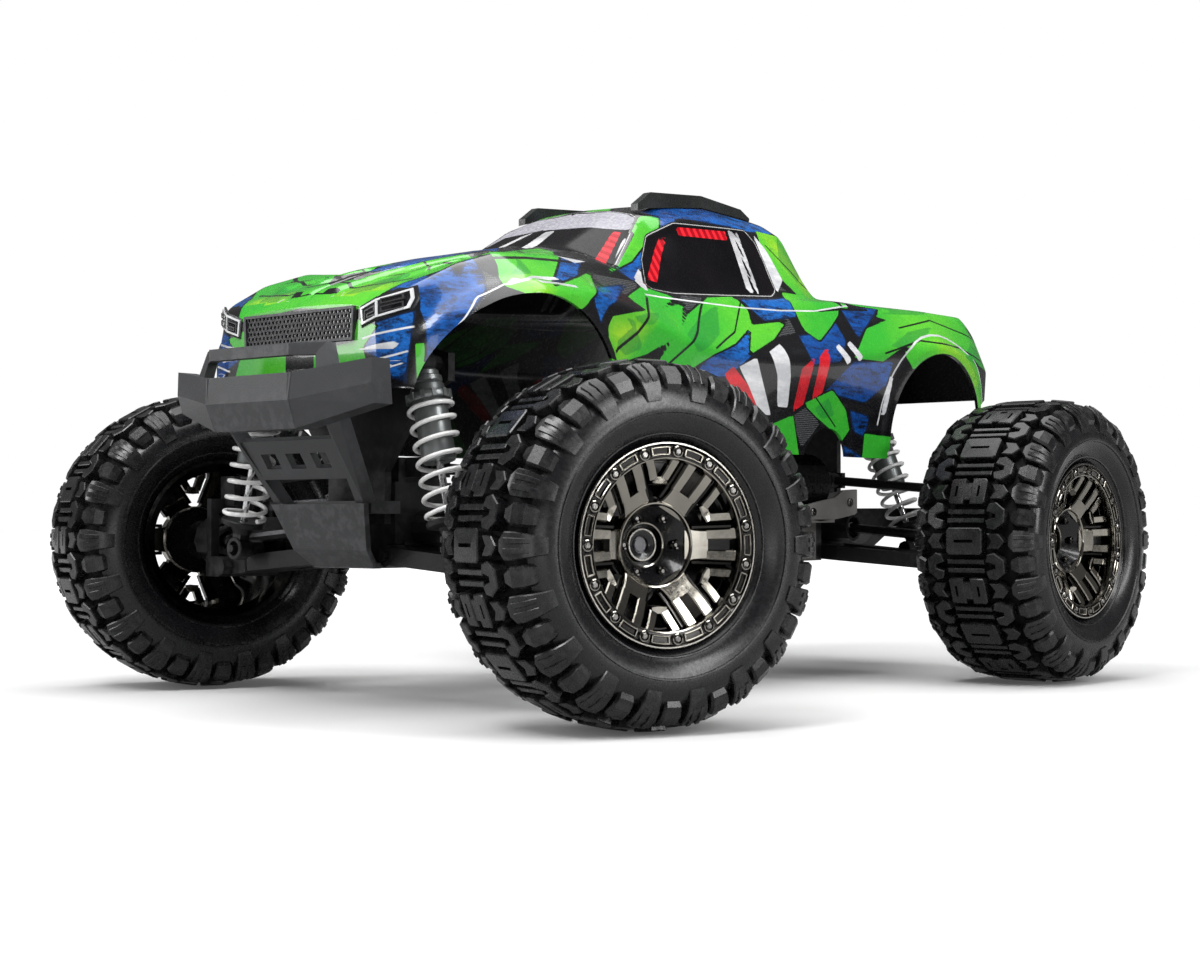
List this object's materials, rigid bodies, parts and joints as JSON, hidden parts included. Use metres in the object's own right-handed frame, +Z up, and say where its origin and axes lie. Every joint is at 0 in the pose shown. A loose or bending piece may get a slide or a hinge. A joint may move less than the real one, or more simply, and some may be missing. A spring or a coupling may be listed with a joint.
{
  "type": "rc monster truck",
  "caption": "Radio-controlled monster truck with painted shell body, coil-sprung arm suspension, steered front wheels and all-wheel drive shafts.",
  "frame": {"origin": "on the ground, on the centre plane, halfway along the truck's length and halfway between the axles", "axes": "+Z up, -Y towards the truck's front, +X towards the truck's left side"},
  "size_m": [0.3772, 0.4532, 0.2286],
  "materials": {
    "tyre_rubber": "matt moulded rubber",
    "wheel_black_chrome": "black chrome plated plastic, mirror bright",
    "steel": "bright machined steel",
    "shock_aluminium": "grey anodised look, satin",
    "spring_white": "white powder coat",
    "motor_steel": "black coated steel can",
    "battery_wrap": "plastic wrap",
    "body_paint": "bright green printed polycarbonate with blue and black pattern, clear gloss",
    "bumper_grey_nylon": "dark grey satin nylon",
    "black_nylon": "black satin nylon"
  },
  "bodies": {
    "chassis": {"chassis_tub": "black_nylon", "front_gearbox": "black_nylon", "rear_gearbox": "black_nylon", "front_shock_tower": "black_nylon", "rear_shock_tower": "black_nylon", "front_bumper": "bumper_grey_nylon", "front_skid_plate": "bumper_grey_nylon", "motor": "motor_steel", "battery": "battery_wrap", "steering_servo": "black_nylon", "body_shell": "body_paint", "roof_skid_left": "black_nylon", "roof_skid_right": "black_nylon"},
    "arm_fl": {"lower_arm_fl": "black_nylon"},
    "link_fl": {"upper_link_fl": "black_nylon"},
    "half_shaft_fl": {"half_shaft_fl": "steel"},
    "shock_body_fl": {"shock_body_fl": "shock_aluminium", "shock_spring_fl": "spring_white"},
    "shock_shaft_fl": {"shock_shaft_fl": "steel"},
    "caster_fl": {"caster_block_fl": "black_nylon"},
    "knuckle_fl": {"steering_block_fl": "black_nylon"},
    "wheel_fl": {"stub_axle_fl": "steel", "wheel_fl": "wheel_black_chrome", "tyre_fl": "tyre_rubber"},
    "arm_fr": {"lower_arm_fr": "black_nylon"},
    "link_fr": {"upper_link_fr": "black_nylon"},
    "half_shaft_fr": {"half_shaft_fr": "steel"},
    "shock_body_fr": {"shock_body_fr": "shock_aluminium", "shock_spring_fr": "spring_white"},
    "shock_shaft_fr": {"shock_shaft_fr": "steel"},
    "caster_fr": {"caster_block_fr": "black_nylon"},
    "knuckle_fr": {"steering_block_fr": "black_nylon"},
    "wheel_fr": {"stub_axle_fr": "steel", "wheel_fr": "wheel_black_chrome", "tyre_fr": "tyre_rubber"},
    "arm_rl": {"lower_arm_rl": "black_nylon"},
    "link_rl": {"upper_link_rl": "black_nylon"},
    "half_shaft_rl": {"half_shaft_rl": "steel"},
    "shock_body_rl": {"shock_body_rl": "shock_aluminium", "shock_spring_rl": "spring_white"},
    "shock_shaft_rl": {"shock_shaft_rl": "steel"},
    "carrier_rl": {"hub_carrier_rl": "black_nylon"},
    "wheel_rl": {"stub_axle_rl": "steel", "wheel_rl": "wheel_black_chrome", "tyre_rl": "tyre_rubber"},
    "arm_rr": {"lower_arm_rr": "black_nylon"},
    "link_rr": {"upper_link_rr": "black_nylon"},
    "half_shaft_rr": {"half_shaft_rr": "steel"},
    "shock_body_rr": {"shock_body_rr": "shock_aluminium", "shock_spring_rr": "spring_white"},
    "shock_shaft_rr": {"shock_shaft_rr": "steel"},
    "carrier_rr": {"hub_carrier_rr": "black_nylon"},
    "wheel_rr": {"stub_axle_rr": "steel", "wheel_rr": "wheel_black_chrome", "tyre_rr": "tyre_rubber"},
    "servo_saver": {"servo_saver": "black_nylon"},
    "idler_arm": {"idler_arm": "black_nylon"},
    "drag_link": {"drag_link": "black_nylon"},
    "tie_rod_left": {"tie_rod_left": "steel"},
    "tie_rod_right": {"tie_rod_right": "steel"}
  },
  "joints": [
    {"name": "suspension_fl", "type": "hinge", "parent": "chassis", "child": "arm_fl", "pos_m": [0.02, -0.145, 0.062], "axis": [0, -1, 0], "range_deg": [-14, 12], "stiffness_Nm_per_rad": 1.6, "springref_deg": -7.02},
    {"name": "link_swing_fl", "type": "hinge", "parent": "chassis", "child": "link_fl", "pos_m": [0.023, -0.145, 0.098], "axis": [0, -1, 0], "range_deg": [-14.01, 12.01]},
    {"name": "half_shaft_swing_fl", "type": "hinge", "parent": "chassis", "child": "half_shaft_fl", "pos_m": [0.033, -0.145, 0.0735], "axis": [0, -1, 0], "range_deg": [-14.01, 12.01]},
    {"name": "upright_level_fl", "type": "hinge", "parent": "arm_fl", "child": "caster_fl", "pos_m": [0.094, -0.145, 0.056], "axis": [0, -1, 0], "range_deg": [-12.01, 14.01]},
    {"name": "shock_lean_fl", "type": "hinge", "parent": "chassis", "child": "shock_body_fl", "pos_m": [0.047, -0.1726, 0.138], "axis": [0, -1, 0], "range_deg": [-1.55, 1.33]},
    {"name": "shock_stroke_fl", "type": "slide", "parent": "shock_body_fl", "child": "shock_shaft_fl", "axis": [0.2376, 0, -0.9714], "range_m": [-0.00921, 0.01074], "deforming": ["shock_spring_fl"]},
    {"name": "steer", "type": "hinge", "parent": "caster_fl", "child": "knuckle_fl", "pos_m": [0.107, -0.145, 0.0675], "axis": [0, 0, 1], "range_deg": [-8, 46]},
    {"name": "wheel_spin_fl", "type": "hinge", "parent": "knuckle_fl", "child": "wheel_fl", "pos_m": [0.13867, -0.15591, 0.0675], "axis": [0.9455, -0.3256, 0], "continuous": true},
    {"name": "suspension_fr", "type": "hinge", "parent": "chassis", "child": "arm_fr", "pos_m": [-0.02, -0.145, 0.062], "axis": [0, 1, 0], "range_deg": [-14, 12], "stiffness_Nm_per_rad": 1.6, "springref_deg": -7.02},
    {"name": "link_swing_fr", "type": "hinge", "parent": "chassis", "child": "link_fr", "pos_m": [-0.023, -0.145, 0.098], "axis": [0, 1, 0], "range_deg": [-14.01, 12.01]},
    {"name": "half_shaft_swing_fr", "type": "hinge", "parent": "chassis", "child": "half_shaft_fr", "pos_m": [-0.033, -0.145, 0.0735], "axis": [0, 1, 0], "range_deg": [-14.01, 12.01]},
    {"name": "upright_level_fr", "type": "hinge", "parent": "arm_fr", "child": "caster_fr", "pos_m": [-0.094, -0.145, 0.056], "axis": [0, 1, 0], "range_deg": [-12.01, 14.01]},
    {"name": "shock_lean_fr", "type": "hinge", "parent": "chassis", "child": "shock_body_fr", "pos_m": [-0.047, -0.1726, 0.138], "axis": [0, 1, 0], "range_deg": [-1.55, 1.33]},
    {"name": "shock_stroke_fr", "type": "slide", "parent": "shock_body_fr", "child": "shock_shaft_fr", "axis": [-0.2376, 0, -0.9714], "range_m": [-0.00921, 0.01074], "deforming": ["shock_spring_fr"]},
    {"name": "steer_right", "type": "hinge", "parent": "caster_fr", "child": "knuckle_fr", "pos_m": [-0.107, -0.145, 0.0675], "axis": [0, 0, 1], "range_deg": [-8.01, 46.01]},
    {"name": "wheel_spin_fr", "type": "hinge", "parent": "knuckle_fr", "child": "wheel_fr", "pos_m": [-0.13867, -0.13409, 0.0675], "axis": [0.9455, -0.3256, 0], "continuous": true},
    {"name": "suspension_rl", "type": "hinge", "parent": "chassis", "child": "arm_rl", "pos_m": [0.02, 0.145, 0.062], "axis": [0, -1, 0], "range_deg": [-14, 12], "stiffness_Nm_per_rad": 1.6, "springref_deg": -8.44},
    {"name": "link_swing_rl", "type": "hinge", "parent": "chassis", "child": "link_rl", "pos_m": [0.023, 0.145, 0.098], "axis": [0, -1, 0], "range_deg": [-14.01, 12.01]},
    {"name": "half_shaft_swing_rl", "type": "hinge", "parent": "chassis", "child": "half_shaft_rl", "pos_m": [0.033, 0.145, 0.0735], "axis": [0, -1, 0], "range_deg": [-14.01, 12.01]},
    {"name": "upright_level_rl", "type": "hinge", "parent": "arm_rl", "child": "carrier_rl", "pos_m": [0.094, 0.145, 0.056], "axis": [0, -1, 0], "range_deg": [-12.01, 14.01]},
    {"name": "shock_lean_rl", "type": "hinge", "parent": "chassis", "child": "shock_body_rl", "pos_m": [0.028, 0.1726, 0.132], "axis": [0, -1, 0], "range_deg": [-2.53, 2.17]},
    {"name": "shock_stroke_rl", "type": "slide", "parent": "shock_body_rl", "child": "shock_shaft_rl", "axis": [0.3875, 0, -0.9219], "range_m": [-0.00717, 0.00836], "deforming": ["shock_spring_rl"]},
    {"name": "wheel_spin_rl", "type": "hinge", "parent": "carrier_rl", "child": "wheel_rl", "pos_m": [0.1405, 0.145, 0.0675], "axis": [1, 0, 0], "continuous": true},
    {"name": "suspension_rr", "type": "hinge", "parent": "chassis", "child": "arm_rr", "pos_m": [-0.02, 0.145, 0.062], "axis": [0, 1, 0], "range_deg": [-14, 12], "stiffness_Nm_per_rad": 1.6, "springref_deg": -8.44},
    {"name": "link_swing_rr", "type": "hinge", "parent": "chassis", "child": "link_rr", "pos_m": [-0.023, 0.145, 0.098], "axis": [0, 1, 0], "range_deg": [-14.01, 12.01]},
    {"name": "half_shaft_swing_rr", "type": "hinge", "parent": "chassis", "child": "half_shaft_rr", "pos_m": [-0.033, 0.145, 0.0735], "axis": [0, 1, 0], "range_deg": [-14.01, 12.01]},
    {"name": "upright_level_rr", "type": "hinge", "parent": "arm_rr", "child": "carrier_rr", "pos_m": [-0.094, 0.145, 0.056], "axis": [0, 1, 0], "range_deg": [-12.01, 14.01]},
    {"name": "shock_lean_rr", "type": "hinge", "parent": "chassis", "child": "shock_body_rr", "pos_m": [-0.028, 0.1726, 0.132], "axis": [0, 1, 0], "range_deg": [-2.53, 2.17]},
    {"name": "shock_stroke_rr", "type": "slide", "parent": "shock_body_rr", "child": "shock_shaft_rr", "axis": [-0.3875, 0, -0.9219], "range_m": [-0.00717, 0.00836], "deforming": ["shock_spring_rr"]},
    {"name": "wheel_spin_rr", "type": "hinge", "parent": "carrier_rr", "child": "wheel_rr", "pos_m": [-0.1405, 0.145, 0.0675], "axis": [1, 0, 0], "continuous": true},
    {"name": "servo_turn", "type": "hinge", "parent": "chassis", "child": "servo_saver", "pos_m": [0.022, -0.108, 0.081], "axis": [0, 0, 1], "range_deg": [-8.01, 46.01]},
    {"name": "idler_turn", "type": "hinge", "parent": "chassis", "child": "idler_arm", "pos_m": [-0.022, -0.108, 0.081], "axis": [0, 0, 1], "range_deg": [-8.01, 46.01]},
    {"name": "drag_link_level", "type": "hinge", "parent": "servo_saver", "child": "drag_link", "pos_m": [0.02851, -0.08909, 0.0835], "axis": [0, 0, 1], "range_deg": [-46.01, 8.01]},
    {"name": "tie_rod_swing_left", "type": "hinge", "parent": "drag_link", "child": "tie_rod_left", "pos_m": [0.03951, -0.08909, 0.089], "axis": [0, -1, 0], "range_deg": [-14.01, 12.01]},
    {"name": "tie_rod_swing_right", "type": "hinge", "parent": "drag_link", "child": "tie_rod_right", "pos_m": [-0.02649, -0.08909, 0.089], "axis": [0, 1, 0], "range_deg": [-14.01, 12.01]}
  ],
  "couplings": [
    {"joint": "link_swing_fl", "follows": "suspension_fl", "ratio": 1},
    {"joint": "half_shaft_swing_fl", "follows": "suspension_fl", "ratio": 1},
    {"joint": "upright_level_fl", "follows": "suspension_fl", "ratio": -1},
    {"joint": "shock_lean_fl", "follows": "suspension_fl", "ratio": 0.11},
    {"joint": "shock_stroke_fl", "follows": "suspension_fl", "m_per_rad": -0.04388},
    {"joint": "link_swing_fr", "follows": "suspension_fr", "ratio": 1},
    {"joint": "half_shaft_swing_fr", "follows": "suspension_fr", "ratio": 1},
    {"joint": "upright_level_fr", "follows": "suspension_fr", "ratio": -1},
    {"joint": "shock_lean_fr", "follows": "suspension_fr", "ratio": 0.11},
    {"joint": "shock_stroke_fr", "follows": "suspension_fr", "m_per_rad": -0.04388},
    {"joint": "steer_right", "follows": "steer", "ratio": 1},
    {"joint": "link_swing_rl", "follows": "suspension_rl", "ratio": 1},
    {"joint": "half_shaft_swing_rl", "follows": "suspension_rl", "ratio": 1},
    {"joint": "upright_level_rl", "follows": "suspension_rl", "ratio": -1},
    {"joint": "shock_lean_rl", "follows": "suspension_rl", "ratio": 0.18},
    {"joint": "shock_stroke_rl", "follows": "suspension_rl", "m_per_rad": -0.03414},
    {"joint": "link_swing_rr", "follows": "suspension_rr", "ratio": 1},
    {"joint": "half_shaft_swing_rr", "follows": "suspension_rr", "ratio": 1},
    {"joint": "upright_level_rr", "follows": "suspension_rr", "ratio": -1},
    {"joint": "shock_lean_rr", "follows": "suspension_rr", "ratio": 0.18},
    {"joint": "shock_stroke_rr", "follows": "suspension_rr", "m_per_rad": -0.03414},
    {"joint": "servo_turn", "follows": "steer", "ratio": 1},
    {"joint": "idler_turn", "follows": "steer", "ratio": 1},
    {"joint": "drag_link_level", "follows": "steer", "ratio": -1},
    {"joint": "tie_rod_swing_left", "follows": "suspension_fl", "ratio": 1},
    {"joint": "tie_rod_swing_right", "follows": "suspension_fr", "ratio": 1}
  ]
}
